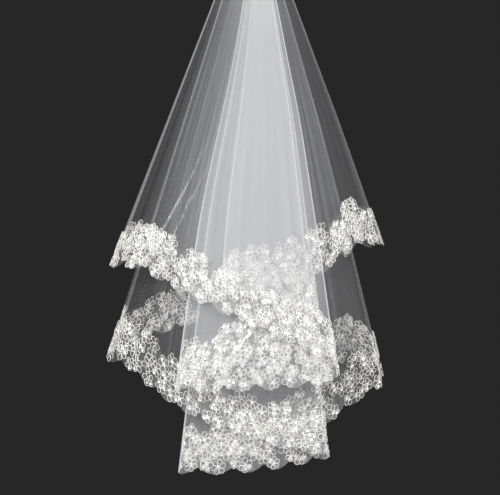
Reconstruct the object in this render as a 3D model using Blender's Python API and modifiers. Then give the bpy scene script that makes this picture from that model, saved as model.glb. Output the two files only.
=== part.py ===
"""A two-tier tulle bridal veil with flower-lace edging, hanging from its hair comb.

Metres, +Z up. The origin is the middle of the comb's spine, where the veil is held.
The veil is seen from -Y, its outer side. The wearer would stand on the +Y side, in the hollow.
"""

import math
from collections import namedtuple

import bmesh
import bpy
from mathutils import Vector

# Driving dimensions of the hang
REACH = 0.900           # longest drop, from the comb down to the lowest hem
GATHER = 0.113          # share of a tier's spread that is left where it is gathered on the comb
BUNDLE_DEPTH = -0.0173  # where the gathered bundle lies in front of the comb
OPENING = 1.25          # how slowly the folds open out in depth below the comb
WING_BEND = 0.100       # how far the sides round away, at WING_SIDE from the middle
WING_SIDE = 0.400

# Cloth
TULLE = 0.0010          # wall that stands for the net and its stiffness
SEAM_GAP = 0.0003
COLUMN_WIDTH = 0.0087   # width of one column of the mesh, measured along the hem
TIGHT_TURN_STEPS = 5
BUNCHED_SIDE = 0.150    # the bunched folds lie between this side and its mirror
BUNCHED_FADE = 0.070
BUNCHED_FLUTE = 0.0028  # height of the flutes between the bunched folds
FREE_FLUTE = 0.0085     # height of the soft flutes out on the wings
FLUTE_LENGTH = 0.088
SMALL_FLUTE_LENGTH = 0.053
TURN_FADE = 0.035       # the flutes die out over this length beside a tight turn

# Lace edging
LACE = 0.0008
LACE_BAND = 0.068       # height of the edging, from the hem up
FLOWER_RAISE = 0.0006   # how far the middle of a flower stands out
FLOWER_COLUMNS = 3      # columns of the mesh in one flower
LOBE_LENGTH = 0.052     # length of one scallop along the hem, about two flowers wide
HEM_LOBE = 0.0065       # how far a scallop hangs below the hem's line
NOTCH = 0.0055          # how far the hem steps up between two scallops
UPPER_LOBE = 0.0090     # depth of the uneven scallops on the lace's upper edge
GAP_ROWS = (0.020, 0.031, 0.042)  # heights above the hem of the two rows of gaps
GAP_REPEAT = 6
UPPER_GAPS = (1,)       # columns of each repeat that have a gap, in the two rows
LOWER_GAPS = (3, 5)

# Comb and binding
COMB_WIDTH = 0.0880
COMB_THICKNESS = 0.0022
SPINE_HEIGHT = 0.0080
TOOTH_LENGTH = 0.0400
TOOTH_ROOT = 0.0028
TOOTH_TIP = 0.0014
TOOTH_COUNT = 16
TOOTH_SLOPE = 0.24      # how fast the teeth lean away from the tulle, to follow the head
RIBBON = 0.0010
BINDING_WIDTH = 0.0960
BINDING_DEPTH = 0.0239
BINDING_TOP = 0.0012
BINDING_HANG = -0.0095
BINDING_CORNER = 0.0016
CORNER_STEPS = 4

# A tier is one length of tulle, followed from its left free edge to its right one.
# A row is one run of it in plan, at REACH below the comb: how deep it lies, the sides
# where it starts and ends, the hem's drop at its start, middle and end, and how far the
# turn into the next run reaches past its end.
Run = namedtuple("Run", "name depth start end drop_start drop_mid drop_end turn")

UPPER_RUNS = (
    Run("left return", 0.150, -0.250, -0.310, 0.550, 0.543, 0.530, 0.090),
    Run("front panel", -0.110, -0.310, 0.163, 0.534, 0.611, 0.697, 0.008),
    Run("first fold", -0.094, 0.163, -0.150, 0.733, 0.744, 0.748, 0.008),
    Run("second fold", -0.078, -0.150, 0.138, 0.740, 0.690, 0.630, 0.008),
    Run("third fold", -0.062, 0.138, -0.074, 0.620, 0.592, 0.580, 0.008),
    Run("right wing", -0.046, -0.074, 0.290, 0.576, 0.559, 0.490, 0.083),
    Run("right return", 0.150, 0.290, 0.250, 0.498, 0.508, 0.518, 0.0),
)
LOWER_RUNS = (
    Run("left return", 0.125, -0.130, -0.262, 0.634, 0.649, 0.668, 0.065),
    Run("left wing", -0.030, -0.262, 0.126, 0.716, 0.815, 0.862, 0.008),
    Run("back fold", -0.014, 0.126, -0.126, 0.872, 0.892, 0.897, 0.008),
    Run("right wing", 0.002, -0.126, 0.217, 0.892, 0.850, 0.766, 0.059),
    Run("right return", 0.125, 0.217, 0.125, 0.698, 0.722, 0.742, 0.0),
)
TIGHT_TURN = 0.008
GATHER_TOP = BINDING_TOP - RIBBON - SEAM_GAP

# How the depths of the runs close up on the comb: depth at REACH, and depth in the bundle
PINCH = (
    (-0.110, -0.0056),
    (0.002, 0.0056),
    (0.125, 0.0102),
    (0.150, 0.0126),
)

Station = namedtuple("Station", "side depth pinched drop hem between")


def mix(a, b, share):
    return a + (b - a) * share


def smooth(share):
    share = min(1.0, max(0.0, share))
    return share * share * (3.0 - 2.0 * share)


def pinched(depth):
    """Where a run at this depth lies in the bundle on the comb."""
    for (low, low_bundle), (high, high_bundle) in zip(PINCH, PINCH[1:]):
        if depth <= high:
            return mix(low_bundle, high_bundle, (depth - low) / (high - low))
    return PINCH[-1][1]


def hem_drop(run, share):
    """The hem's drop along a run, on a smooth curve through its three drops."""
    rise = 4.0 * run.drop_mid - 3.0 * run.drop_start - run.drop_end
    curve = 2.0 * run.drop_start - 4.0 * run.drop_mid + 2.0 * run.drop_end
    return run.drop_start + rise * share + curve * share * share


def spread_at(drop):
    """Share of a tier's full spread that it has this far below the comb."""
    return mix(GATHER, 1.0, drop / REACH)


def is_tight(turn):
    return 0.0 < turn <= TIGHT_TURN


def run_points(run, turn_before):
    """Points along one run, as side, depth, hem drop and flute height."""
    length = abs(run.end - run.start)
    steps = max(2, round(length * spread_at(run.drop_mid) / COLUMN_WIDTH))
    points = []
    for step in range(steps):
        share = step / steps
        side = mix(run.start, run.end, share)
        flute = mix(BUNCHED_FLUTE, FREE_FLUTE, smooth((abs(side) - BUNCHED_SIDE) / BUNCHED_FADE))
        if is_tight(turn_before):
            flute *= smooth(share * length / TURN_FADE)
        if is_tight(run.turn):
            flute *= smooth((1.0 - share) * length / TURN_FADE)
        points.append((side, run.depth, hem_drop(run, share), flute))
    return points


def turn_points(run, after):
    """Points round the half turn that joins one run to the next."""
    heading = 1.0 if run.end > run.start else -1.0
    half_depth = (after.depth - run.depth) / 2.0
    length = math.pi * math.sqrt((run.turn ** 2 + half_depth ** 2) / 2.0)
    steps = round(length * spread_at(run.drop_end) / COLUMN_WIDTH)
    flute = FREE_FLUTE
    if is_tight(run.turn):
        steps = TIGHT_TURN_STEPS
        flute = 0.0
    points = []
    for step in range(steps):
        angle = math.pi * step / steps
        side = run.end + heading * run.turn * math.sin(angle)
        depth = run.depth + half_depth * (1.0 - math.cos(angle))
        drop = mix(run.drop_end, after.drop_start, step / steps)
        points.append((side, depth, drop, flute))
    return points


def follow(runs):
    """Every point of a tier in plan, run after run and turn after turn."""
    points = []
    turn_before = 0.0
    for run, after in zip(runs, runs[1:]):
        points += run_points(run, turn_before)
        points += turn_points(run, after)
        turn_before = run.turn
    last = runs[-1]
    points += run_points(last, turn_before)
    points.append((last.end, last.depth, last.drop_end, FREE_FLUTE))
    return points


def flute_wave(distance):
    """Height of the soft flutes along the cloth, from -1 to 1."""
    long_wave = math.sin(2.0 * math.pi * distance / FLUTE_LENGTH)
    short_wave = math.sin(2.0 * math.pi * distance / SMALL_FLUTE_LENGTH + 1.1)
    return 0.66 * long_wave + 0.34 * short_wave


def scalloped(stations):
    """The same stations with the hem cut in lobes, uneven in length."""
    cut = []
    hem_distance = 0.0
    before = stations[0]
    for station in stations:
        hem_distance += (place(station, station.drop) - place(before, before.drop)).length
        phase = math.pi * hem_distance / LOBE_LENGTH + 0.7 * math.sin(17.0 * hem_distance)
        lobe = mix(-NOTCH, HEM_LOBE, abs(math.sin(phase)))
        cut.append(station._replace(hem=station.drop + lobe))
        before = station
    return cut


def stations_of(runs):
    """The stations of a tier: its plan with the flutes pressed in, and its hem."""
    points = follow(runs)
    stations = []
    distance = 0.0
    for index, (side, depth, drop, flute) in enumerate(points):
        before = points[max(0, index - 1)]
        after = points[min(len(points) - 1, index + 1)]
        along = Vector((after[0] - before[0], after[1] - before[1])).normalized()
        distance += math.hypot(side - before[0], depth - before[1])
        push = flute * flute_wave(distance)
        between = index % FLOWER_COLUMNS == 0
        stations.append(
            Station(side + along.y * push, depth - along.x * push, pinched(depth), drop, drop, between)
        )
    return scalloped(stations)


def place(station, drop):
    """The point of a tier's mid surface at a station, this far below the comb."""
    share = drop / REACH
    opened = max(0.0, share) ** OPENING
    rounded = station.depth + WING_BEND * (station.side / WING_SIDE) ** 2
    depth = mix(station.pinched, rounded, opened) + BUNDLE_DEPTH
    return Vector((station.side * spread_at(drop), depth, -drop))


def outward(stations, index, drop):
    """Unit normal of a tier on its outer face, which is on the right as the runs are followed."""
    before = place(stations[max(0, index - 1)], drop)
    after = place(stations[min(len(stations) - 1, index + 1)], drop)
    down = place(stations[index], drop + 0.01) - place(stations[index], drop - 0.01)
    return (after - before).cross(-down).normalized()


def sheet(name, grid, material, gaps=()):
    """An open sheet through a grid of points, [column][row], without the cells that are gaps.

    Columns follow the cloth to the right as seen from outside, and rows go down.
    """
    mesh = bpy.data.meshes.new(name)
    bm = bmesh.new()
    verts = [[bm.verts.new(point) for point in column] for column in grid]
    for i, (left, right) in enumerate(zip(verts, verts[1:])):
        for j in range(len(left) - 1):
            if (i, j) not in gaps:
                bm.faces.new((left[j], left[j + 1], right[j + 1], right[j]))
    bm.to_mesh(mesh)
    bm.free()
    mesh.shade_smooth()
    return add_object(name, mesh, material)


def thicken(made, thickness, offset):
    """Gives an open sheet its wall, evenly to both sides (offset 0) or outwards (offset 1)."""
    shell = made.modifiers.new("wall", "SOLIDIFY")
    shell.thickness = thickness
    shell.offset = offset
    return shell


def tulle_tier(name, stations, material):
    """The net of one tier, gathered at the comb and trimmed along the scallops of its lace."""
    grid = []
    for station in stations:
        band_top = station.drop - LACE_BAND - 0.004
        drops = (-GATHER_TOP, band_top * 0.42, band_top, station.hem)
        grid.append([place(station, drop) for drop in drops])
    thicken(sheet(name, grid, material), TULLE, 0.0)


def upper_edge(index, station):
    """Height of the lace's uneven upper edge above the hem."""
    cluster = 0.5 + 0.5 * math.sin(index * 0.47) * math.cos(index * 0.19 + 0.6)
    lobe = 0.0 if station.between else 1.0
    return LACE_BAND - UPPER_LOBE + UPPER_LOBE * (0.65 * cluster + 0.35 * lobe)


def lace_edging(name, stations, material):
    """The flower lace sewn on a tier's outer face along its hem, scalloped and cut through."""
    lift = TULLE / 2.0 + SEAM_GAP
    grid = []
    for index, station in enumerate(stations):
        drops = [station.drop - upper_edge(index, station)]
        drops += [station.drop - height for height in reversed(GAP_ROWS)]
        drops.append(station.hem)
        grid.append([place(station, drop) + outward(stations, index, drop) * lift for drop in drops])
    gaps = set()
    for index in range(2, len(stations) - 3):
        if index % GAP_REPEAT in UPPER_GAPS:
            gaps.add((index, 1))
        if index % GAP_REPEAT in LOWER_GAPS:
            gaps.add((index, 2))
    made = sheet(name, grid, material, gaps)
    shell = thicken(made, LACE + FLOWER_RAISE, 1.0)
    middles = made.vertex_groups.new(name="flower_middles")
    rows = len(grid[0])
    for index, station in enumerate(stations):
        inner_rows = range(index * rows + 1, index * rows + rows - 1)
        if not station.between:
            middles.add(list(inner_rows), 1.0, "REPLACE")
    shell.vertex_group = middles.name
    shell.thickness_vertex_group = LACE / (LACE + FLOWER_RAISE)


def comb(material):
    """A flat moulded comb whose teeth lean back to follow the head."""
    half = COMB_WIDTH / 2.0
    pitch = COMB_WIDTH / TOOTH_COUNT
    root = -SPINE_HEIGHT / 2.0
    outline = [(-half, -root), (-half, root)]
    for tooth in range(TOOTH_COUNT):
        middle = -half + pitch * (tooth + 0.5)
        outline += [
            (middle - TOOTH_ROOT / 2.0, root),
            (middle - TOOTH_TIP / 2.0, root - TOOTH_LENGTH),
            (middle + TOOTH_TIP / 2.0, root - TOOTH_LENGTH),
            (middle + TOOTH_ROOT / 2.0, root),
        ]
    outline += [(half, root), (half, -root)]
    curve = bpy.data.curves.new("comb_outline", "CURVE")
    curve.dimensions = "2D"
    curve.fill_mode = "BOTH"
    curve.extrude = COMB_THICKNESS / 2.0
    spline = curve.splines.new("POLY")
    spline.points.add(len(outline) - 1)
    for point, (side, height) in zip(spline.points, outline):
        point.co = (side, height, 0.0, 1.0)
    spline.use_cyclic_u = True
    flat = bpy.data.objects.new("comb_outline", curve)
    PARTS.objects.link(flat)
    bpy.context.view_layer.update()
    mesh = bpy.data.meshes.new_from_object(flat.evaluated_get(bpy.context.evaluated_depsgraph_get()))
    bpy.data.objects.remove(flat)
    bm = bmesh.new()
    bm.from_mesh(mesh)
    bmesh.ops.remove_doubles(bm, verts=bm.verts, dist=0.00005)
    for vert in bm.verts:
        side, height, depth = vert.co
        lean = TOOTH_SLOPE * max(0.0, root - height)
        vert.co = (side, lean - depth, height)
    bmesh.ops.recalc_face_normals(bm, faces=bm.faces)
    bm.to_mesh(mesh)
    bm.free()
    mesh.name = "comb"
    return add_object("comb", mesh, material)


def binding(material):
    """The satin ribbon folded over the gathered edges of both tiers, open below."""
    back = -COMB_THICKNESS / 2.0 - SEAM_GAP - RIBBON / 2.0
    front = back - BINDING_DEPTH + RIBBON
    top = BINDING_TOP - RIBBON / 2.0
    profile = [(front, BINDING_HANG)]
    for step in range(CORNER_STEPS + 1):
        angle = math.pi / 2.0 * step / CORNER_STEPS
        profile.append((
            front + BINDING_CORNER * (1.0 - math.cos(angle)),
            top - BINDING_CORNER * (1.0 - math.sin(angle)),
        ))
    for step in range(CORNER_STEPS + 1):
        angle = math.pi / 2.0 * step / CORNER_STEPS
        profile.append((
            back - BINDING_CORNER * (1.0 - math.sin(angle)),
            top - BINDING_CORNER * (1.0 - math.cos(angle)),
        ))
    profile.append((back, BINDING_HANG))
    mesh = bpy.data.meshes.new("gather_binding")
    bm = bmesh.new()
    rows = []
    for side in (-BINDING_WIDTH / 2.0, BINDING_WIDTH / 2.0):
        rows.append([bm.verts.new((side, depth, height)) for depth, height in profile])
    for a, b, c, d in zip(rows[0], rows[0][1:], rows[1][1:], rows[1]):
        bm.faces.new((a, d, c, b))
    bm.to_mesh(mesh)
    bm.free()
    mesh.shade_smooth()
    thicken(add_object("gather_binding", mesh, material), RIBBON, 0.0)


def plain_material(name, colour, roughness, metallic=0.0, alpha=1.0):
    material = bpy.data.materials.new(name)
    material.use_nodes = True
    shader = material.node_tree.nodes["Principled BSDF"]
    shader.inputs["Base Color"].default_value = (*colour, 1.0)
    shader.inputs["Roughness"].default_value = roughness
    shader.inputs["Metallic"].default_value = metallic
    shader.inputs["Alpha"].default_value = alpha
    return material


def add_object(name, mesh, material):
    made = bpy.data.objects.new(name, mesh)
    made.data.materials.append(material)
    PARTS.objects.link(made)
    return made


def clear_scene():
    for old in list(bpy.data.objects):
        bpy.data.objects.remove(old)


clear_scene()
PARTS = bpy.data.collections.new("bridal_veil")
bpy.context.scene.collection.children.link(PARTS)

net = plain_material("white_tulle", (0.86, 0.87, 0.89), 0.75, alpha=0.35)
lace = plain_material("flower_lace", (0.88, 0.87, 0.84), 0.65)
satin = plain_material("satin_ribbon", (0.90, 0.89, 0.87), 0.35)
plastic = plain_material("clear_comb", (0.92, 0.93, 0.94), 0.12, alpha=0.6)

upper_stations = stations_of(UPPER_RUNS)
lower_stations = stations_of(LOWER_RUNS)
tulle_tier("upper_tier", upper_stations, net)
tulle_tier("lower_tier", lower_stations, net)
lace_edging("upper_lace_edging", upper_stations, lace)
lace_edging("lower_lace_edging", lower_stations, lace)
binding(satin)
comb(plastic)
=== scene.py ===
import math
from collections import namedtuple

import bpy
import numpy as np
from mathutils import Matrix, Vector


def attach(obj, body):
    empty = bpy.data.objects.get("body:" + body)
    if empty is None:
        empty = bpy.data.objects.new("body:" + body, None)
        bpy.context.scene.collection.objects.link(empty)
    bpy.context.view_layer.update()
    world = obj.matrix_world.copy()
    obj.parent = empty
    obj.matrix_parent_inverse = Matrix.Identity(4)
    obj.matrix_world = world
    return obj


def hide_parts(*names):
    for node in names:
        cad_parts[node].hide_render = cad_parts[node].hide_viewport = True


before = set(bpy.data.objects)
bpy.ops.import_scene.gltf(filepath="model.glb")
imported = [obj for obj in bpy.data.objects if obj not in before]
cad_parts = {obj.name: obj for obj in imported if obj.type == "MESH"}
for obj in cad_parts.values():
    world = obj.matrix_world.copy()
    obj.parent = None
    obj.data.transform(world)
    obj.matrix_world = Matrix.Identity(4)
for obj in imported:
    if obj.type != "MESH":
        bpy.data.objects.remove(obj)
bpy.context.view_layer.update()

# The hang, in the same sizes as the solids
REACH = 0.900           # the drop at which the net has its full spread
GATHER = 0.113          # spread at the comb, as a share of the full one
BUNDLE_DEPTH = -0.0173  # depth of the middle of the gathered net at the comb
OPENING = 1.25          # above 1, so the bundle opens in depth slowly at first
WING_BEND = 0.100       # how far the wings bend towards the wearer at WING_SIDE
WING_SIDE = 0.400
BUNCHED_SIDE = 0.150    # inside this side the net is bunched, with low flutes
BUNCHED_FADE = 0.070    # and this much further out the flutes have their full height
BUNCHED_FLUTE = 0.0028
FREE_FLUTE = 0.0085
FLUTE_LENGTH = 0.088
SMALL_FLUTE_LENGTH = 0.053
SMALL_FLUTE_PHASE = 1.1
FLUTE_SHARE = 0.66
SMALL_FLUTE_SHARE = 0.34
TURN_FADE = 0.035       # flutes run out over this length on each side of a tight turn
TIGHT_TURN = 0.008      # a turn of this radius or less is a pressed fold
GATHER_TOP = -0.0001    # height of the gathered edge
LIFT = 0.0008           # the lace's inner face, out from the middle of the net's wall

# Scallops of the hem
LOBE_LENGTH = 0.052
LOBE_UNEVENNESS = 0.7   # how far, in radians, the lobes slip to and fro along the hem
LOBE_SLIP_RATE = 17.0   # radians of that slip per metre of hem
HEM_LOBE = 0.0065
NOTCH = 0.0055

# Fineness of the net
COLUMN_WIDTH = 0.0029
ROW_HEIGHT = 0.0085
TIGHT_TURN_STEPS = 16
SLOPE_COLUMNS = 0.8     # slopes are measured between points this many columns to each side
SLOPE_DROP = 0.004      # and between points this far above and below
CELLS_PER_METRE = 560.0
STREAKS_PER_METRE = (130.0, 1.6, 1.0)   # uneven gathers, across and down the cloth

# Gathers and creases
GATHER_WAVE = 0.024     # length of the small gathers, measured at REACH
GATHER_HEIGHT = 0.0004
GATHER_START = 0.004    # the small gathers start this far above the comb's middle
GATHER_RISE = 0.03      # and reach their full height over this much drop
GATHER_FADE = 0.32      # they run out this far below the comb
GATHER_UNEVENNESS = 2.0 # how far, in radians, they slip to and fro along the net
GATHER_SLIP_RATE = 21.0 # radians of that slip per metre of net
CREASE_FADE = 0.10      # a crease rises and runs out over this much drop
PRESSED_SHARPNESS = 1.5 # how much narrower the pressed net along a crease is than its ridge

# How much of the light one layer of net stops, by how far to the side its gathers lie
COVER_SIDES = (-0.40, -0.30, -0.26, -0.245, -0.17, -0.12, 0.14, 0.20, 0.26, 0.38)
UPPER_COVER = (0.036, 0.038, 0.042, 0.086, 0.094, 0.122, 0.122, 0.052, 0.040, 0.034)
LOWER_COVER = (0.034, 0.034, 0.038, 0.056, 0.086, 0.122, 0.122, 0.072, 0.050, 0.034)
FOLD_HIGHLIGHT_COVER = 0.62       # along a tightly folded edge: partly the doubled net of the turn, partly a painted highlight where the net is seen edge-on
WIDE_FOLD_HIGHLIGHT = 0.26        # share of that along the outer edge of a wing, where it is also a painted highlight
TIGHT_FOLD_POWER = 3    # how narrow the dense line is along a tight fold
WIDE_FOLD_POWER = 24    # and along the edge of a wing
NEAR_COMB = 0.20        # how much denser the gathers are at the comb
NEAR_COMB_DROP = 0.16
LACE_GROUND = 0.06      # added under the lace, where the net is embroidered all over
LACE_BAND = 0.066
LACE_BAND_FADE = 0.008

# How far the bunched folds lean sideways out of an even fan, by drop: at their left edge
# (side LEAN_LEFT) and at their right edge (side LEAN_RIGHT)
LEAN_DROPS = (0.0, 0.08, 0.17, 0.28, 0.42, 0.52, 0.66, 0.90)
LEFT_LEAN = (0.008, 0.0105, 0.0085, 0.002, -0.007, -0.007, -0.004, 0.0)
RIGHT_LEAN = (0.006, 0.0090, 0.0110, 0.0150, 0.0125, 0.0105, 0.006, 0.0)
LEAN_LEFT = -0.158
LEAN_RIGHT = 0.171
LEAN_END_LEFT = -0.33   # the left lean has run out here
LEAN_END_RIGHT = 0.37   # the right lean has fallen to RIGHT_LEAN_LEFT_OVER of itself here
RIGHT_LEAN_LEFT_OVER = 0.5

# Lace, with heights above the hem
FLOWER_RADIUS = 0.0128
FLOWER_SPACING = 0.0252
ROW_HEIGHTS = (0.0, 0.0300, 0.0475)
PEAK_HEIGHT = 0.0635
CORD_RADIUS = 0.00050
CORD_STEPS = 15
CORD_SIDES = 3
SEQUIN_RADIUS = 0.0026
SEQUIN_HOLE = 0.0011
SEQUIN_STEPS = 8
BEAD_RADIUS = 0.0016
BEAD_RINGS = ((0.75, 0.66), (1.0, 0.0))     # radius and rise of each ring, as shares of BEAD_RADIUS

# Where pairs of flowers stand above the rest of the lace, along each hem from its left end
UPPER_PEAKS = (
    0.090, 0.238, 0.276, 0.300, 0.372, 0.440, 0.520, 0.566, 0.640, 0.690, 0.722, 0.748, 0.772, 0.798,
    0.850, 0.930, 0.985, 1.070, 1.120, 1.200, 1.262, 1.310, 1.400, 1.505, 1.560, 1.622, 1.712,
)
LOWER_PEAKS = (
    0.030, 0.062, 0.108, 0.190, 0.262, 0.330, 0.400, 0.470, 0.545, 0.610, 0.690, 0.760, 0.815, 0.900,
    0.985, 1.060, 1.110, 1.200, 1.262, 1.345, 1.425, 1.490, 1.520,
)

# One flower: petal sizes and reaches are shares of the flower's own radius
PETAL_SIZE = 0.375
PETAL_SIZES = (0.88, 1.12)
PETAL_REACH = (0.56, 0.64)
PETAL_JITTER = 0.10     # how far a petal strays round the flower, in petals
PETAL_ROUNDNESS = (0.82, 1.0)
FILLING_ROUNDNESS = 0.9
PETAL_LIFT = 0.0006
PETAL_SAG = 0.0005
PETAL_STEPS = 8
FIVE_PETALS_SHARE = 0.65    # the other flowers have six
PETAL_SEQUIN_SHARE = 0.22
PETAL_SEQUIN_HEIGHT = 0.0008
PETAL_SEQUIN_TILT = 0.3
MIDDLE_SEQUIN_TILT = 0.2
MIDDLE_HEIGHT = 0.0016
SEQUIN_RISE = 0.0005
BEAD_SHARE = 0.55
BEAD_STEPS = 6

# How the flowers stand along the hem
FLOWER_SIZES = (0.88, 1.08)
FLOWER_LIFT = 0.0012
FLOWER_SHIFT = 0.20     # how far a flower strays along its row, in spacings
FLOWER_STRAY = 0.0030   # how far it strays up or down
PEAK_HALF_WIDTH = 0.0115
HEM_END = 0.010         # how near a flower's middle comes to a free edge
HEM_ROW_RISE = 0.92     # height of the lowest row above the scallops, in flower radii
SCALLOP_FOLLOWED = 0.6  # how far the upper rows follow the scallops

# Comb and binding
COMB_WIDTH = 0.0880
SPINE_HEIGHT = 0.0080
SPINE_THICKNESS = 0.0022
TOOTH_COUNT = 16
TOOTH_LENGTH = 0.0400
TOOTH_SLOPE = 0.24
TOOTH_ROOT_RADIUS = 0.00125
TOOTH_TIP_RADIUS = 0.00060
TOOTH_TAPER = 1.5       # above 1, so most of the taper is near the tip
TOOTH_TUCK = 0.001      # how far a tooth reaches into the spine
TOOTH_STEPS = 8
TOOTH_SIDES = 8
SPINE_STEPS = 24
SPINE_SIDES = 12
BINDING_WIDTH = 0.0960
BINDING_BACK = -0.0019
BINDING_FRONT = -0.0248
BINDING_TOP = 0.0007
BINDING_HANG = -0.0095
BINDING_CORNER = 0.0016
BINDING_SIDE_STEPS = 4
BINDING_CORNER_STEPS = 5
BINDING_COLUMNS = 97
RIBBON_THICKNESS = 0.0007
PUCKER = 0.00022
STITCH_PITCH = 0.0048
STITCH_COUNT = 19
STITCH_HALF_LENGTH = 0.0014
STITCH_RISE = 0.0022    # above the ribbon's lower edge
STITCH_PROUD = 0.0005   # in front of the ribbon
STITCH_BOW = 0.0003
STITCH_STEPS = 4
THREAD_RADIUS = 0.00022
THREAD_SIDES = 5
WHIP_DEPTH = 0.00140
WHIP_HEIGHT = 0.0043
WHIP_SPACING = 0.0010
WHIP_SLANT = 0.0003
WHIP_ARC = (-0.35 * math.pi, 1.35 * math.pi)
WHIP_STEPS = 10

# View of the photo
PHOTO_WIDTH_PX = 500
PHOTO_HEIGHT_PX = 495
METRES_PER_PX = 0.00175
COMB_ROW_PX = -40       # the comb is this far above the photo's upper edge
MIDDLE_COLUMN_PX = 254
CAMERA_DISTANCE = 3.0
PHOTO_DEPTH = -0.05     # where a pixel is METRES_PER_PX wide
SENSOR_WIDTH = 36.0

# Studio
FLOOR_LEVEL = -1.25
FLOOR_RADIUS = 2.0
BACKDROP = (0.020, 0.020, 0.021, 1.0)
LIGHT_AIM = (0.0, 0.0, -0.5)
MOST_LAYERS = 48        # sheer surfaces that one ray of light may pass
Light = namedtuple("Light", "name place size power")
LIGHTS = (
    Light("key", place=(-1.3, -2.3, 0.9), size=1.2, power=136.0),
    Light("fill", place=(1.9, -2.2, -0.1), size=1.8, power=66.0),
    Light("back", place=(0.3, 2.4, 0.8), size=1.6, power=55.0),
)

Run = namedtuple("Run", "name depth start end drop_start drop_mid drop_end turn")
UPPER_RUNS = (
    Run("left return", 0.150, -0.250, -0.310, 0.550, 0.543, 0.530, 0.090),
    Run("front panel", -0.110, -0.310, 0.163, 0.534, 0.611, 0.697, 0.008),
    Run("first fold", -0.094, 0.163, -0.150, 0.733, 0.744, 0.748, 0.008),
    Run("second fold", -0.078, -0.150, 0.138, 0.740, 0.690, 0.630, 0.008),
    Run("third fold", -0.062, 0.138, -0.074, 0.620, 0.592, 0.580, 0.008),
    Run("right wing", -0.046, -0.074, 0.290, 0.576, 0.559, 0.490, 0.083),
    Run("right return", 0.150, 0.290, 0.250, 0.498, 0.508, 0.518, 0.0),
)
LOWER_RUNS = (
    Run("left return", 0.125, -0.130, -0.262, 0.634, 0.649, 0.668, 0.065),
    Run("left wing", -0.030, -0.262, 0.126, 0.716, 0.815, 0.862, 0.008),
    Run("back fold", -0.014, 0.126, -0.126, 0.872, 0.892, 0.897, 0.008),
    Run("right wing", 0.002, -0.126, 0.217, 0.892, 0.850, 0.766, 0.059),
    Run("right return", 0.125, 0.217, 0.125, 0.698, 0.722, 0.742, 0.0),
)
PINCH_DEPTHS = (-0.110, 0.002, 0.125, 0.150)
PINCH_BUNDLE = (-0.0056, 0.0056, 0.0102, 0.0126)

# Creases, given one by one: the run and the side that each lies on, half its width there,
# its height (below zero for a trough), the drops where it starts and ends, how much net
# is pressed together along it, and how far it drifts to the side with each metre of drop
# A crease's pressed net is also painted whiter in the net's colour: painted highlight.
Crease = namedtuple("Crease", "run side half_width height top bottom pressed drift", defaults=(0.05, 0.0))
UPPER_CREASES = (
    Crease("front panel", -0.177, 0.0038, 0.0030, 0.30, 0.62, 0.36, -0.55),
    Crease("front panel", -0.153, 0.0036, 0.0026, 0.34, 0.62, 0.24, -0.58),
    Crease("front panel", -0.232, 0.0060, 0.0050, 0.16, 0.56),
    Crease("front panel", -0.206, 0.0050, 0.0060, 0.20, 0.52),
    Crease("front panel", -0.168, 0.0090, -0.0035, 0.05, 0.50),
    Crease("front panel", -0.286, 0.0110, 0.0040, 0.10, 0.42),
    Crease("front panel", -0.120, 0.0070, 0.0030, 0.08, 0.60),
    Crease("front panel", -0.088, 0.0045, -0.0022, 0.02, 0.46),
    Crease("front panel", -0.046, 0.0060, 0.0020, 0.10, 0.66),
    Crease("front panel", 0.052, 0.0080, -0.0018, 0.05, 0.40),
    Crease("front panel", 0.098, 0.0050, 0.0026, 0.03, 0.62),
    Crease("front panel", 0.131, 0.0040, -0.0020, 0.12, 0.64),
    Crease("right wing", 0.170, 0.0080, 0.0040, 0.06, 0.48),
    Crease("right wing", 0.214, 0.0110, -0.0045, 0.12, 0.54),
    Crease("right wing", 0.262, 0.0060, 0.0040, 0.08, 0.36),
    Crease("left return", -0.280, 0.0080, 0.0040, 0.10, 0.50),
    Crease("right return", 0.268, 0.0070, -0.0035, 0.14, 0.46),
)
LOWER_CREASES = (
    Crease("left wing", -0.226, 0.0090, 0.0045, 0.10, 0.70),
    Crease("left wing", -0.188, 0.0060, -0.0040, 0.30, 0.78),
    Crease("left wing", -0.152, 0.0070, 0.0035, 0.12, 0.80),
    Crease("left wing", -0.060, 0.0080, 0.0020, 0.20, 0.86),
    Crease("right wing", 0.158, 0.0060, 0.0035, 0.14, 0.82),
    Crease("right wing", 0.190, 0.0090, -0.0045, 0.25, 0.76),
    Crease("right wing", -0.030, 0.0070, 0.0024, 0.08, 0.84),
    Crease("right wing", 0.070, 0.0060, -0.0022, 0.20, 0.80),
    Crease("left return", -0.200, 0.0080, 0.0040, 0.15, 0.64),
    Crease("right return", 0.172, 0.0070, 0.0035, 0.15, 0.68),
)


def mix(a, b, share):
    return a + (b - a) * share


def smooth(share):
    share = np.clip(share, 0.0, 1.0)
    return share * share * (3.0 - 2.0 * share)


def spread_at(drop):
    return mix(GATHER, 1.0, drop / REACH)


def eased(drop, values):
    """Values by drop, with the corners between them rounded off."""
    steps = (-0.04, -0.02, 0.0, 0.02, 0.04)
    return sum(np.interp(drop + step, LEAN_DROPS, values) for step in steps) / len(steps)


def is_tight(turn):
    return 0.0 < turn <= TIGHT_TURN


def hem_drop(run, share):
    rise = 4.0 * run.drop_mid - 3.0 * run.drop_start - run.drop_end
    curve = 2.0 * run.drop_start - 4.0 * run.drop_mid + 2.0 * run.drop_end
    return run.drop_start + rise * share + curve * share * share


def run_points(run, turn_before):
    """Points along one run: side, depth, hem drop, flute height, run's name, how folded."""
    length = abs(run.end - run.start)
    steps = max(2, round(length * spread_at(run.drop_mid) / COLUMN_WIDTH))
    points = []
    for step in range(steps):
        share = step / steps
        side = mix(run.start, run.end, share)
        flute = mix(BUNCHED_FLUTE, FREE_FLUTE, smooth((abs(side) - BUNCHED_SIDE) / BUNCHED_FADE))
        if is_tight(turn_before):
            flute *= smooth(share * length / TURN_FADE)
        if is_tight(run.turn):
            flute *= smooth((1.0 - share) * length / TURN_FADE)
        points.append((side, run.depth, hem_drop(run, share), flute, run.name, 0.0))
    return points


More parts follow.
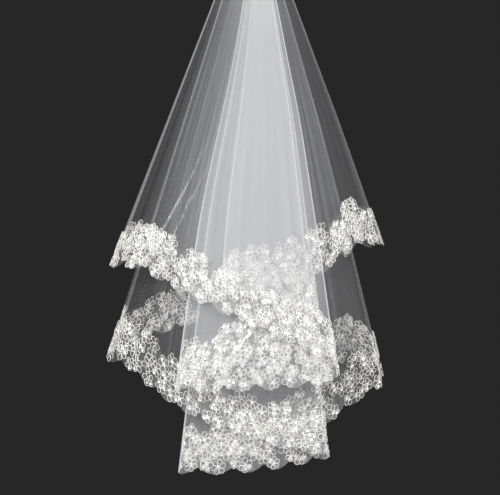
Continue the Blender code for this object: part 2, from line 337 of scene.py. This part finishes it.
def turn_points(run, after):
    """Points round the half turn that joins one run to the next."""
    heading = 1.0 if run.end > run.start else -1.0
    half_depth = (after.depth - run.depth) / 2.0
    length = math.pi * math.sqrt((run.turn ** 2 + half_depth ** 2) / 2.0)
    steps = round(length * spread_at(run.drop_end) / COLUMN_WIDTH)
    tight = is_tight(run.turn)
    if tight:
        steps = TIGHT_TURN_STEPS
    points = []
    for step in range(steps):
        angle = math.pi * step / steps
        side = run.end + heading * run.turn * math.sin(angle)
        depth = run.depth + half_depth * (1.0 - math.cos(angle))
        drop = mix(run.drop_end, after.drop_start, step / steps)
        flute = 0.0 if tight else FREE_FLUTE
        if tight:
            folded = math.sin(angle) ** TIGHT_FOLD_POWER
        else:
            folded = WIDE_FOLD_HIGHLIGHT * math.sin(angle) ** WIDE_FOLD_POWER
        points.append((side, depth, drop, flute, "turn", folded))
    return points


class Tier:
    """One tier of the veil as a surface: columns of stations, each followed down to the hem."""

    def __init__(self, runs, creases):
        points = []
        turn_before = 0.0
        for run, after in zip(runs, runs[1:]):
            points += run_points(run, turn_before)
            points += turn_points(run, after)
            turn_before = run.turn
        last = runs[-1]
        points += run_points(last, turn_before)
        points.append((last.end, last.depth, last.drop_end, FREE_FLUTE, last.name, 0.0))
        side, depth, drop, flute = (np.array([point[k] for point in points]) for k in range(4))
        self.plan_side = side
        self.run = np.array([point[4] for point in points])
        self.folded = np.array([point[5] for point in points])
        self.distance = np.concatenate([[0.0], np.cumsum(np.hypot(np.diff(side), np.diff(depth)))])
        along = np.stack([np.gradient(side), np.gradient(depth)])
        along /= np.linalg.norm(along, axis=0)
        long_wave = np.sin(2.0 * math.pi * self.distance / FLUTE_LENGTH)
        short_wave = np.sin(2.0 * math.pi * self.distance / SMALL_FLUTE_LENGTH + SMALL_FLUTE_PHASE)
        push = flute * (FLUTE_SHARE * long_wave + SMALL_FLUTE_SHARE * short_wave)
        self.side = side + along[1] * push
        self.depth = depth - along[0] * push
        self.pinched = np.interp(depth, PINCH_DEPTHS, PINCH_BUNDLE)
        self.drop = drop
        self.creases = creases
        self.index = np.arange(len(side), dtype=float)
        left_knots = (LEAN_END_LEFT, LEAN_LEFT, LEAN_RIGHT)
        right_knots = (LEAN_LEFT, LEAN_RIGHT, LEAN_END_RIGHT)
        self.left_weight = np.interp(side, left_knots, (0.0, 1.0, 0.0))
        self.right_weight = np.interp(side, right_knots, (0.0, 1.0, RIGHT_LEAN_LEFT_OVER))
        hem = self.place(self.index, self.drop)
        self.hem = np.concatenate([[0.0], np.cumsum(np.linalg.norm(np.diff(hem, axis=0), axis=1))])

    def at(self, values, index):
        return np.interp(index, self.index, values)

    def place(self, index, drop):
        """Points of the middle of the net's wall, at these stations and this far below the comb."""
        share = drop / REACH
        side = self.at(self.side, index)
        rounded = self.at(self.depth, index) + WING_BEND * (side / WING_SIDE) ** 2
        opened = np.maximum(share, 0.0) ** OPENING
        depth = mix(self.at(self.pinched, index), rounded, opened) + BUNDLE_DEPTH
        lean = self.at(self.left_weight, index) * eased(drop, LEFT_LEAN)
        lean = lean + self.at(self.right_weight, index) * eased(drop, RIGHT_LEAN)
        return np.stack([side * spread_at(drop) + lean, depth, -drop], axis=-1)

    def outward(self, index, drop):
        """Unit normals on the outer face."""
        along = self.place(index + SLOPE_COLUMNS, drop) - self.place(index - SLOPE_COLUMNS, drop)
        down = self.place(index, drop + SLOPE_DROP) - self.place(index, drop - SLOPE_DROP)
        normal = np.cross(along, -down)
        return normal / np.linalg.norm(normal, axis=-1, keepdims=True)

    def crease_push(self, index, drop):
        """How far the small gathers and the creases stand out of the surface."""
        distance = self.at(self.distance, index)
        slip = GATHER_UNEVENNESS * np.sin(distance * GATHER_SLIP_RATE)
        ripple = np.sin(2.0 * math.pi * distance / GATHER_WAVE + slip)
        rise = smooth((drop + GATHER_START) / GATHER_RISE)
        push = GATHER_HEIGHT * ripple * (1.0 - smooth(drop / GATHER_FADE)) * rise
        for crease in self.creases:
            push = push + crease.height * self.ridge(crease, index, drop, 1.0)
        return push

    def ridge(self, crease, index, drop, sharpness):
        """How much of a crease, from 0 to 1, there is at these stations and drops."""
        on_run = self.at((self.run == crease.run).astype(float), index)
        middle = crease.side + crease.drift * (drop - crease.top)
        across = sharpness * (self.at(self.plan_side, index) - middle) / crease.half_width
        fade_in = smooth((drop - crease.top) / CREASE_FADE)
        fade_out = smooth((crease.bottom - drop) / CREASE_FADE)
        return np.exp(-across * across) * on_run * fade_in * fade_out

    def on_surface(self, index, drop, height):
        """Points this far out from the middle of the net, creases included."""
        push = self.crease_push(index, drop) + height
        return self.place(index, drop) + self.outward(index, drop) * push[..., None]

    def scallop(self, hem_distance):
        """How far the lace's edge hangs below the hem's line: lobes of flowers, uneven in size."""
        phase = math.pi * hem_distance / LOBE_LENGTH + LOBE_UNEVENNESS * np.sin(LOBE_SLIP_RATE * hem_distance)
        return mix(-NOTCH, HEM_LOBE, np.abs(np.sin(phase)))


def add_mesh(name, points, faces, material):
    mesh = bpy.data.meshes.new(name)
    mesh.from_pydata([tuple(point) for point in points], [], faces)
    mesh.shade_smooth()
    mesh.materials.append(material)
    made = bpy.data.objects.new(name, mesh)
    bpy.context.scene.collection.objects.link(made)
    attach(made, "root")
    return made


def net_cover(tier, index, drop, by_side):
    """Share of the light that one layer stops: most along folds, partly as a painted highlight, and in the
    bunched middle.
    """
    cover = np.interp(tier.at(tier.plan_side, index), COVER_SIDES, by_side)
    cover = cover * (1.0 + NEAR_COMB * (1.0 - smooth(drop / NEAR_COMB_DROP)))
    for crease in tier.creases:
        cover = cover + crease.pressed * tier.ridge(crease, index, drop, PRESSED_SHARPNESS)
    above_hem = tier.at(tier.drop, index) - drop
    cover = cover + LACE_GROUND * smooth((LACE_BAND - above_hem) / LACE_BAND_FADE)
    return mix(cover, FOLD_HIGHLIGHT_COVER, tier.at(tier.folded, index))


def tulle_piece(name, tier, by_side, material):
    """The fine net of one tier, with its gathers, creases and a map of its own sizes."""
    columns = len(tier.index)
    rows = int(tier.drop.max() / ROW_HEIGHT)
    hem = tier.drop + tier.scallop(tier.hem)
    share = np.linspace(0.0, 1.0, rows)[None, :]
    index = np.repeat(tier.index[:, None], rows, axis=1)
    drop = mix(-GATHER_TOP, hem[:, None], share)
    points = tier.on_surface(index, drop, np.zeros_like(drop)).reshape(-1, 3)
    corner = (np.arange(columns - 1)[:, None] * rows + np.arange(rows - 1)).ravel()
    faces = np.stack([corner, corner + 1, corner + rows + 1, corner + rows], axis=1)
    made = add_mesh(name, points, faces.tolist(), material)
    mesh = made.data
    cover = net_cover(tier, index, drop, by_side).ravel().astype(np.float32)
    mesh.attributes.new("net_cover", "FLOAT", "POINT").data.foreach_set("value", cover)
    cloth = np.stack([np.repeat(tier.distance, rows), drop.ravel()], axis=1)
    corners = np.zeros(len(mesh.loops), dtype=np.int32)
    mesh.loops.foreach_get("vertex_index", corners)
    layer = mesh.uv_layers.new(name="cloth")
    layer.data.foreach_set("uv", cloth[corners].astype(np.float32).ravel())
    return made


class Pile:
    """Points and faces of many small things, gathered into one mesh."""

    def __init__(self):
        self.points = []
        self.faces = []

    def add(self, points, faces, at):
        first = len(self.points)
        self.points += [(p[0] + at[0], p[1] + at[1], p[2] + at[2]) for p in points]
        self.faces += [tuple(first + corner for corner in face) for face in faces]


def on_oval(centre, radius, squash, turn, angle):
    """A point of an oval that is turned: (along, up)."""
    x, y = radius * math.cos(angle), radius * squash * math.sin(angle)
    along = centre[0] + x * math.cos(turn) - y * math.sin(turn)
    up = centre[1] + x * math.sin(turn) + y * math.cos(turn)
    return along, up


def ring(centre, radius, squash, turn, height):
    """A loop of cord lying flat: points as (along, up, out), and its faces."""
    points = []
    faces = []
    for step in range(CORD_STEPS):
        angle = 2.0 * math.pi * step / CORD_STEPS
        here, there = step * CORD_SIDES, (step + 1) % CORD_STEPS * CORD_SIDES
        for side in range(CORD_SIDES):
            round_cord = 2.0 * math.pi * side / CORD_SIDES
            reach = radius + CORD_RADIUS * math.cos(round_cord)
            out = height + CORD_RADIUS * (1.0 + math.sin(round_cord))
            points.append((*on_oval(centre, reach, squash, turn, angle), out))
            beside = (side + 1) % CORD_SIDES
            faces.append((here + side, there + side, there + beside, here + beside))
    return points, faces


def dish(centre, radius, squash, turn, height):
    """A shallow round of sheer stuff inside a loop."""
    points = [(centre[0], centre[1], height - PETAL_SAG)]
    faces = []
    for step in range(PETAL_STEPS):
        angle = 2.0 * math.pi * step / PETAL_STEPS
        points.append((*on_oval(centre, radius, squash, turn, angle), height))
        faces.append((0, 1 + step, 1 + (step + 1) % PETAL_STEPS))
    return points, faces


def sequin(centre, height, tilt):
    """A small cupped disc with a hole in its middle."""
    points = []
    for radius, rise in ((SEQUIN_HOLE, 0.0), (SEQUIN_RADIUS, SEQUIN_RISE)):
        for step in range(SEQUIN_STEPS):
            angle = 2.0 * math.pi * step / SEQUIN_STEPS
            x, y = radius * math.cos(angle), radius * math.sin(angle)
            points.append((centre[0] + x, centre[1] + y, height + rise + tilt * x))
    faces = []
    for step in range(SEQUIN_STEPS):
        beside = (step + 1) % SEQUIN_STEPS
        faces.append((step, beside, SEQUIN_STEPS + beside, SEQUIN_STEPS + step))
    return points, faces


def bead(height):
    """A small round bead sewn in the middle of a sequin."""
    points = [(0.0, 0.0, height + BEAD_RADIUS)]
    for radius, rise in BEAD_RINGS:
        for step in range(BEAD_STEPS):
            angle = 2.0 * math.pi * step / BEAD_STEPS
            reach = BEAD_RADIUS * radius
            points.append((reach * math.cos(angle), reach * math.sin(angle), height + BEAD_RADIUS * rise))
    faces = []
    for step in range(BEAD_STEPS):
        here, beside = 1 + step, 1 + (step + 1) % BEAD_STEPS
        faces.append((0, here, beside))
        faces.append((here, here + BEAD_STEPS, beside + BEAD_STEPS, beside))
    return points, faces


def flower(piles, at, size, petals, turn, dice):
    """A corded flower: round loops about a sequin, with sheer petals."""
    cords, fills, shiny, beads = piles
    for petal in range(petals):
        angle = turn + 2.0 * math.pi * (petal + dice.uniform(-PETAL_JITTER, PETAL_JITTER)) / petals
        reach = size * dice.uniform(*PETAL_REACH)
        centre = (reach * math.cos(angle), reach * math.sin(angle))
        radius = size * PETAL_SIZE * dice.uniform(*PETAL_SIZES)
        lift = dice.uniform(0.0, PETAL_LIFT)
        cords.add(*ring(centre, radius, dice.uniform(*PETAL_ROUNDNESS), angle, lift), at)
        fills.add(*dish(centre, radius, FILLING_ROUNDNESS, angle, lift + CORD_RADIUS), at)
        if dice.random() < PETAL_SEQUIN_SHARE:
            tilt = dice.uniform(-PETAL_SEQUIN_TILT, PETAL_SEQUIN_TILT)
            shiny.add(*sequin(centre, lift + PETAL_SEQUIN_HEIGHT, tilt), at)
    tilt = dice.uniform(-MIDDLE_SEQUIN_TILT, MIDDLE_SEQUIN_TILT)
    shiny.add(*sequin((0.0, 0.0), MIDDLE_HEIGHT, tilt), at)
    # A dark bead in some flowers' middles: painted shade in the sequin's hole.
    if dice.random() < BEAD_SHARE:
        beads.add(*bead(MIDDLE_HEIGHT), at)


def flower_places(tier, peaks, dice):
    """Middles and sizes of the flowers: (along the hem, height above it, size)."""
    length = tier.hem[-1]
    count = round(length / FLOWER_SPACING)
    places = []
    for row, row_height in enumerate(ROW_HEIGHTS):
        for place in range(count):
            shift = dice.uniform(-FLOWER_SHIFT, FLOWER_SHIFT)
            along = (place + 0.5 + 0.5 * (row % 2) + shift) * length / count
            along = min(max(along, HEM_END), length - HEM_END)
            size = FLOWER_RADIUS * dice.uniform(*FLOWER_SIZES)
            scallop = float(tier.scallop(along))
            height = row_height - SCALLOP_FOLLOWED * scallop + dice.uniform(-FLOWER_STRAY, FLOWER_STRAY)
            if row == 0:
                height = size * HEM_ROW_RISE - scallop
            places.append((along, height, size))
    for peak in peaks:
        for beside in (-PEAK_HALF_WIDTH, PEAK_HALF_WIDTH):
            height = PEAK_HEIGHT + dice.uniform(-FLOWER_STRAY, FLOWER_STRAY)
            places.append((peak + beside, height, FLOWER_RADIUS))
    return places


def lace_pieces(prefix, tier, peaks, materials, seed):
    """The flower lace of one tier: cords, sheer petals, sequins and dark beads of painted shade laid along
    its hem.
    """
    dice = np.random.default_rng(seed)
    piles = [Pile(), Pile(), Pile(), Pile()]
    for along, height, size in flower_places(tier, peaks, dice):
        petals = 5 if dice.random() < FIVE_PETALS_SHARE else 6
        at = (along, height, dice.uniform(0.0, FLOWER_LIFT))
        flower(piles, at, size, petals, dice.uniform(0.0, 2.0 * math.pi), dice)
    made = []
    for kind, pile in zip(("cords", "petals", "sequins", "beads"), piles):
        local = np.array(pile.points)
        hem_distance = np.clip(local[:, 0], 0.0, tier.hem[-1])
        index = np.interp(hem_distance, tier.hem, tier.index)
        drop = tier.at(tier.drop, index) - local[:, 1]
        points = tier.on_surface(index, drop, LIFT + local[:, 2])
        made.append(add_mesh(f"{prefix}_{kind}", points, pile.faces, materials[kind]))
    return made


def new_material(name):
    material = bpy.data.materials.new(name)
    material.use_nodes = True
    nodes = material.node_tree.nodes
    return material, nodes, material.node_tree.links, nodes["Principled BSDF"]


def object_noise(nodes, links, scale, detail=2.0):
    """Noise fixed to the piece, in grains per metre."""
    place = nodes.new("ShaderNodeTexCoord")
    noise = nodes.new("ShaderNodeTexNoise")
    noise.inputs["Scale"].default_value = scale
    noise.inputs["Detail"].default_value = detail
    links.new(place.outputs["Object"], noise.inputs["Vector"])
    return noise.outputs["Fac"]


def ranged(nodes, links, value, before, after):
    """A value carried over from one range to another, and held at its ends."""
    span = nodes.new("ShaderNodeMapRange")
    span.inputs["From Min"].default_value = before[0]
    span.inputs["From Max"].default_value = before[1]
    span.inputs["To Min"].default_value = after[0]
    span.inputs["To Max"].default_value = after[1]
    links.new(value, span.inputs["Value"])
    return span.outputs["Result"]


def multiplied(nodes, links, one, other):
    """The product of two shares, held between 0 and 1."""
    product = nodes.new("ShaderNodeMath")
    product.operation = "MULTIPLY"
    product.use_clamp = True
    links.new(one, product.inputs[0])
    links.new(other, product.inputs[1])
    return product.outputs["Value"]


def add_tint(nodes, links, shader, share, dark, light):
    ramp = nodes.new("ShaderNodeValToRGB")
    ramp.color_ramp.elements[0].color = (*dark, 1.0)
    ramp.color_ramp.elements[1].color = (*light, 1.0)
    links.new(share, ramp.inputs["Fac"])
    links.new(ramp.outputs["Color"], shader.inputs["Base Color"])


def add_bump(nodes, links, shader, height, strength, distance):
    bump = nodes.new("ShaderNodeBump")
    bump.inputs["Strength"].default_value = strength
    bump.inputs["Distance"].default_value = distance
    links.new(height, bump.inputs["Height"])
    links.new(bump.outputs["Normal"], shader.inputs["Normal"])


def tulle_material():
    """Fine net: its cover, its mesh of threads and its uneven gathers set how much light it stops, and how
    white its colour is, as a painted highlight where it is densest.
    """
    material, nodes, links, shader = new_material("soft_white_net")
    cloth = nodes.new("ShaderNodeUVMap")
    cloth.uv_map = "cloth"
    cells = nodes.new("ShaderNodeTexVoronoi")
    cells.voronoi_dimensions = "2D"
    cells.feature = "DISTANCE_TO_EDGE"
    cells.inputs["Scale"].default_value = CELLS_PER_METRE
    cells.inputs["Randomness"].default_value = 0.25
    links.new(cloth.outputs["UV"], cells.inputs["Vector"])
    stretch = nodes.new("ShaderNodeMapping")
    stretch.inputs["Scale"].default_value = STREAKS_PER_METRE
    links.new(cloth.outputs["UV"], stretch.inputs["Vector"])
    streaks = nodes.new("ShaderNodeTexNoise")
    streaks.inputs["Scale"].default_value = 1.0
    streaks.inputs["Detail"].default_value = 4.0
    links.new(stretch.outputs["Vector"], streaks.inputs["Vector"])
    cover = nodes.new("ShaderNodeAttribute")
    cover.attribute_name = "net_cover"
    threads = ranged(nodes, links, cells.outputs["Distance"], before=(0.05, 0.20), after=(1.08, 0.95))
    gathers = ranged(nodes, links, streaks.outputs["Fac"], before=(0.3, 0.7), after=(0.78, 1.24))
    threaded = multiplied(nodes, links, cover.outputs["Fac"], threads)
    stopped = multiplied(nodes, links, threaded, gathers)
    links.new(stopped, shader.inputs["Alpha"])
    # The net's colour runs from grey where it stops little light to white where it stops most: painted
    # highlight along its folds, creases and densest gathers.
    pressed = ranged(nodes, links, stopped, before=(0.14, 0.50), after=(0.0, 1.0))
    add_tint(nodes, links, shader, pressed, dark=(0.56, 0.565, 0.58), light=(0.92, 0.92, 0.92))
    add_bump(nodes, links, shader, cells.outputs["Distance"], strength=0.03, distance=0.0001)
    shader.inputs["Roughness"].default_value = 0.62
    shader.inputs["Sheen Weight"].default_value = 0.35
    shader.inputs["Sheen Roughness"].default_value = 0.4
    return material


def cord_material():
    """Twisted white thread."""
    material, nodes, links, shader = new_material("white_cord")
    broad = object_noise(nodes, links, 60.0)
    twist = object_noise(nodes, links, 900.0, detail=3.0)
    add_tint(nodes, links, shader, broad, dark=(0.74, 0.724, 0.685), light=(0.92, 0.900, 0.855))
    add_bump(nodes, links, shader, twist, strength=0.5, distance=0.0003)
    shader.inputs["Roughness"].default_value = 0.5
    shader.inputs["Sheen Weight"].default_value = 0.3
    return material


def petal_material(name, fullest):
    """Sheer embroidered filling of the petals: fullest is how much light its densest patches stop."""
    material, nodes, links, shader = new_material(name)
    threads = object_noise(nodes, links, 700.0)
    patches = object_noise(nodes, links, 42.0)
    sheer = ranged(nodes, links, patches, before=(0.38, 0.62), after=(0.04, fullest))
    links.new(sheer, shader.inputs["Alpha"])
    add_tint(nodes, links, shader, threads, dark=(0.54, 0.528, 0.500), light=(0.66, 0.645, 0.612))
    add_bump(nodes, links, shader, threads, strength=0.4, distance=0.0002)
    shader.inputs["Roughness"].default_value = 0.6
    return material


def sequin_material():
    """Pearly cupped sequins."""
    material, nodes, links, shader = new_material("pearl_sequin")
    pearl = object_noise(nodes, links, 260.0)
    add_tint(nodes, links, shader, pearl, dark=(0.90, 0.885, 0.850), light=(1.0, 0.98, 0.94))
    add_bump(nodes, links, shader, pearl, strength=0.2, distance=0.0002)
    shader.inputs["Roughness"].default_value = 0.18
    shader.inputs["Metallic"].default_value = 0.15
    shader.inputs["Coat Weight"].default_value = 0.6
    shader.inputs["Coat Roughness"].default_value = 0.08
    return material


def shade_bead_material():
    """Beads coloured near black, dark but for a small glint: painted shade in the sequins' middles."""
    material, nodes, links, shader = new_material("smoky_bead")
    shade_tone = object_noise(nodes, links, 400.0)
    add_tint(nodes, links, shader, shade_tone, dark=(0.015, 0.015, 0.015), light=(0.10, 0.095, 0.09))
    shader.inputs["Roughness"].default_value = 0.15
    return material


def satin_material():
    """Satin ribbon: fine ribs across its length."""
    material, nodes, links, shader = new_material("satin_weave")
    place = nodes.new("ShaderNodeTexCoord")
    ribs = nodes.new("ShaderNodeTexWave")
    ribs.inputs["Scale"].default_value = 620.0
    ribs.inputs["Distortion"].default_value = 1.5
    links.new(place.outputs["Object"], ribs.inputs["Vector"])
    add_tint(nodes, links, shader, ribs.outputs["Fac"], dark=(0.82, 0.81, 0.79), light=(0.93, 0.92, 0.90))
    add_bump(nodes, links, shader, ribs.outputs["Fac"], strength=0.3, distance=0.0002)
    shader.inputs["Roughness"].default_value = 0.32
    shader.inputs["Sheen Weight"].default_value = 0.4
    return material


def comb_material():
    """Clear moulded plastic with faint flow marks."""
    material, nodes, links, shader = new_material("clear_plastic")
    flow = object_noise(nodes, links, 90.0)
    add_tint(nodes, links, shader, flow, dark=(0.80, 0.83, 0.86), light=(0.95, 0.97, 0.98))
    add_bump(nodes, links, shader, flow, strength=0.12, distance=0.0004)
    shader.inputs["Roughness"].default_value = 0.08
    shader.inputs["Transmission Weight"].default_value = 0.75
    shader.inputs["IOR"].default_value = 1.49
    return material


def floor_material():
    material, nodes, links, shader = new_material("pale_floor")
    mottle = object_noise(nodes, links, 3.0)
    add_tint(nodes, links, shader, mottle, dark=(0.25, 0.25, 0.25), light=(0.28, 0.28, 0.28))
    shader.inputs["Roughness"].default_value = 0.8
    return material


def tube(pile, path, radius, sides):
    """A round rod along a path of points, closed at both ends. Its radius may depend on the share passed."""
    path = [Vector(point) for point in path]
    rings = []
    for i, point in enumerate(path):
        ahead = path[min(i + 1, len(path) - 1)] - path[max(i - 1, 0)]
        across = ahead.orthogonal().normalized()
        beside = ahead.normalized().cross(across)
        width = radius(i / (len(path) - 1)) if callable(radius) else radius
        ring_points = []
        for side in range(sides):
            angle = 2.0 * math.pi * side / sides
            ring_points.append(point + (across * math.cos(angle) + beside * math.sin(angle)) * width)
        rings.append(ring_points)
    faces = []
    last = (len(path) - 1) * sides
    for here in range(0, last, sides):
        there = here + sides
        for side in range(sides):
            beside = (side + 1) % sides
            faces.append((here + side, here + beside, there + beside, there + side))
    faces.append(tuple(range(sides))[::-1])
    faces.append(tuple(range(last, last + sides)))
    pile.add([tuple(point) for ring_points in rings for point in ring_points], faces, (0.0, 0.0, 0.0))


def tooth_radius(share):
    return mix(TOOTH_ROOT_RADIUS, TOOTH_TIP_RADIUS, share ** TOOTH_TAPER)


def comb_piece(material):
    """Round tapered teeth under a rounded spine."""
    pile = Pile()
    half = COMB_WIDTH / 2.0
    root = -SPINE_HEIGHT / 2.0
    pitch = COMB_WIDTH / TOOTH_COUNT
    for tooth in range(TOOTH_COUNT):
        side = -half + pitch * (tooth + 0.5)
        path = []
        for step in range(TOOTH_STEPS + 1):
            fall = TOOTH_LENGTH * step / TOOTH_STEPS
            path.append((side, TOOTH_SLOPE * fall, root + TOOTH_TUCK - fall))
        tube(pile, path, tooth_radius, TOOTH_SIDES)
    spine = [(mix(-half, half, step / SPINE_STEPS), 0.0, 0.0) for step in range(SPINE_STEPS + 1)]
    first = len(pile.points)
    tube(pile, spine, 1.0, SPINE_SIDES)
    for i in range(first, len(pile.points)):
        side, depth, height = pile.points[i]
        pile.points[i] = (side, depth * SPINE_THICKNESS / 2.0, height * SPINE_HEIGHT / 2.0)
    return add_mesh("hair_comb", pile.points, pile.faces, material)


def binding_profile():
    """Cross-section of the ribbon, up one side, over the top and down the other: (depth, height)."""
    profile = []
    for step in range(BINDING_SIDE_STEPS + 1):
        share = step / BINDING_SIDE_STEPS
        profile.append((BINDING_FRONT, mix(BINDING_HANG, BINDING_TOP - BINDING_CORNER, share)))
    for step in range(1, BINDING_CORNER_STEPS + 1):
        angle = math.pi / 2.0 * step / BINDING_CORNER_STEPS
        profile.append((
            BINDING_FRONT + BINDING_CORNER * (1.0 - math.cos(angle)),
            BINDING_TOP - BINDING_CORNER * (1.0 - math.sin(angle)),
        ))
    mirrored = [(BINDING_FRONT + BINDING_BACK - depth, height) for depth, height in reversed(profile)]
    return profile + mirrored


def binding_piece(material):
    """Satin ribbon folded over the gathered edges, with a slight pucker at each stitch."""
    profile = binding_profile()
    middle = (BINDING_FRONT + BINDING_BACK) / 2.0
    points, faces = [], []
    for column in range(BINDING_COLUMNS):
        side = mix(-BINDING_WIDTH / 2.0, BINDING_WIDTH / 2.0, column / (BINDING_COLUMNS - 1))
        pucker = PUCKER * math.cos(2.0 * math.pi * side / STITCH_PITCH)
        for depth, height in profile:
            outward = 1.0 if depth > middle else -1.0
            low = (height - BINDING_TOP) / (BINDING_HANG - BINDING_TOP)
            points.append((side, depth + outward * pucker * low, height))
    rows = len(profile)
    for column in range(BINDING_COLUMNS - 1):
        for row in range(rows - 1):
            corner = column * rows + row
            faces.append((corner, corner + rows, corner + rows + 1, corner + 1))
    made = add_mesh("satin_binding", points, faces, material)
    shell = made.modifiers.new("ribbon", "SOLIDIFY")
    shell.thickness = RIBBON_THICKNESS
    shell.offset = 0.0
    return made


def running_stitches(pile):
    """A line of stitches along the ribbon's front."""
    for place in range(STITCH_COUNT):
        side = (place - STITCH_COUNT // 2) * STITCH_PITCH
        path = []
        for step in range(STITCH_STEPS + 1):
            share = step / STITCH_STEPS
            along = side + mix(-STITCH_HALF_LENGTH, STITCH_HALF_LENGTH, share)
            bow = STITCH_BOW * math.sin(math.pi * share)
            path.append((along, BINDING_FRONT - STITCH_PROUD - bow, BINDING_HANG + STITCH_RISE))
        tube(pile, path, THREAD_RADIUS, THREAD_SIDES)


def whip_stitches(pile):
    """Pairs of stitches round the comb's spine, one pair between each two teeth."""
    for place in range(1, TOOTH_COUNT):
        side = (place - TOOTH_COUNT / 2.0) * COMB_WIDTH / TOOTH_COUNT
        for offset in (-WHIP_SPACING / 2.0, WHIP_SPACING / 2.0):
            path = []
            for step in range(WHIP_STEPS + 1):
                angle = mix(*WHIP_ARC, step / WHIP_STEPS)
                path.append((
                    side + offset + WHIP_SLANT * math.sin(angle),
                    WHIP_DEPTH * math.cos(angle),
                    WHIP_HEIGHT * math.sin(angle),
                ))
            tube(pile, path, THREAD_RADIUS, THREAD_SIDES)


def stitching(material):
    pile = Pile()
    running_stitches(pile)
    whip_stitches(pile)
    return add_mesh("stitches", pile.points, pile.faces, material)


def add_area_light(name, place, size, power):
    """A soft round light, turned to the middle of the veil."""
    data = bpy.data.lights.new(name, "AREA")
    data.shape = "DISK"
    data.size = size
    data.energy = power
    light = bpy.data.objects.new(name, data)
    light.location = place
    light.rotation_euler = (Vector(LIGHT_AIM) - Vector(place)).to_track_quat("-Z", "Y").to_euler()
    bpy.context.scene.collection.objects.link(light)


def add_camera():
    """A level view from behind the wearer, framed as in the photo."""
    data = bpy.data.cameras.new("photo_view")
    data.sensor_width = SENSOR_WIDTH
    data.lens = SENSOR_WIDTH * CAMERA_DISTANCE / (PHOTO_WIDTH_PX * METRES_PER_PX)
    camera = bpy.data.objects.new("photo_view", data)
    side = (PHOTO_WIDTH_PX / 2.0 - MIDDLE_COLUMN_PX) * METRES_PER_PX
    height = (COMB_ROW_PX - PHOTO_HEIGHT_PX / 2.0) * METRES_PER_PX
    camera.location = (side, PHOTO_DEPTH - CAMERA_DISTANCE, height)
    camera.rotation_euler = (math.pi / 2.0, 0.0, 0.0)
    bpy.context.scene.collection.objects.link(camera)
    bpy.context.scene.camera = camera


def add_floor():
    bpy.ops.mesh.primitive_circle_add(
        vertices=96, radius=FLOOR_RADIUS, fill_type="NGON", location=(0.0, 0.0, FLOOR_LEVEL)
    )
    floor = bpy.context.object
    floor.name = "floor"
    floor.data.materials.append(floor_material())


def add_world():
    world = bpy.data.worlds.new("dark_studio")
    world.use_nodes = True
    background = world.node_tree.nodes["Background"]
    background.inputs["Color"].default_value = BACKDROP
    bpy.context.scene.world = world


net = tulle_material()
upper_thread = {
    "cords": cord_material(),
    "petals": petal_material("sheer_petal", fullest=0.38),
    "sequins": sequin_material(),
    "beads": shade_bead_material(),
}
# The lower lace's petals stop less light than the upper lace's, so the lower lace shows darker over the dark
# backdrop: painted shade for the lower tier, hanging farther back in shadow.
lower_thread = dict(upper_thread, petals=petal_material("open_petal", fullest=0.12))
satin = satin_material()

upper = Tier(UPPER_RUNS, UPPER_CREASES)
lower = Tier(LOWER_RUNS, LOWER_CREASES)
upper_net = tulle_piece("upper_net", upper, UPPER_COVER, net)
lower_net = tulle_piece("lower_net", lower, LOWER_COVER, net)
upper_lace = lace_pieces("upper_lace", upper, UPPER_PEAKS, upper_thread, seed=11)
lower_lace = lace_pieces("lower_lace", lower, LOWER_PEAKS, lower_thread, seed=23)
binding = binding_piece(satin)
threads = stitching(upper_thread["cords"])
comb = comb_piece(comb_material())

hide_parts("upper_tier")
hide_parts("lower_tier")
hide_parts("upper_lace_edging")
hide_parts("lower_lace_edging")
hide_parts("gather_binding")
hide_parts("comb")

for light in LIGHTS:
    add_area_light(*light)
add_floor()
add_world()
add_camera()
bpy.context.scene.cycles.transparent_max_bounces = MOST_LAYERS
bpy.context.scene.view_settings.view_transform = "Standard"
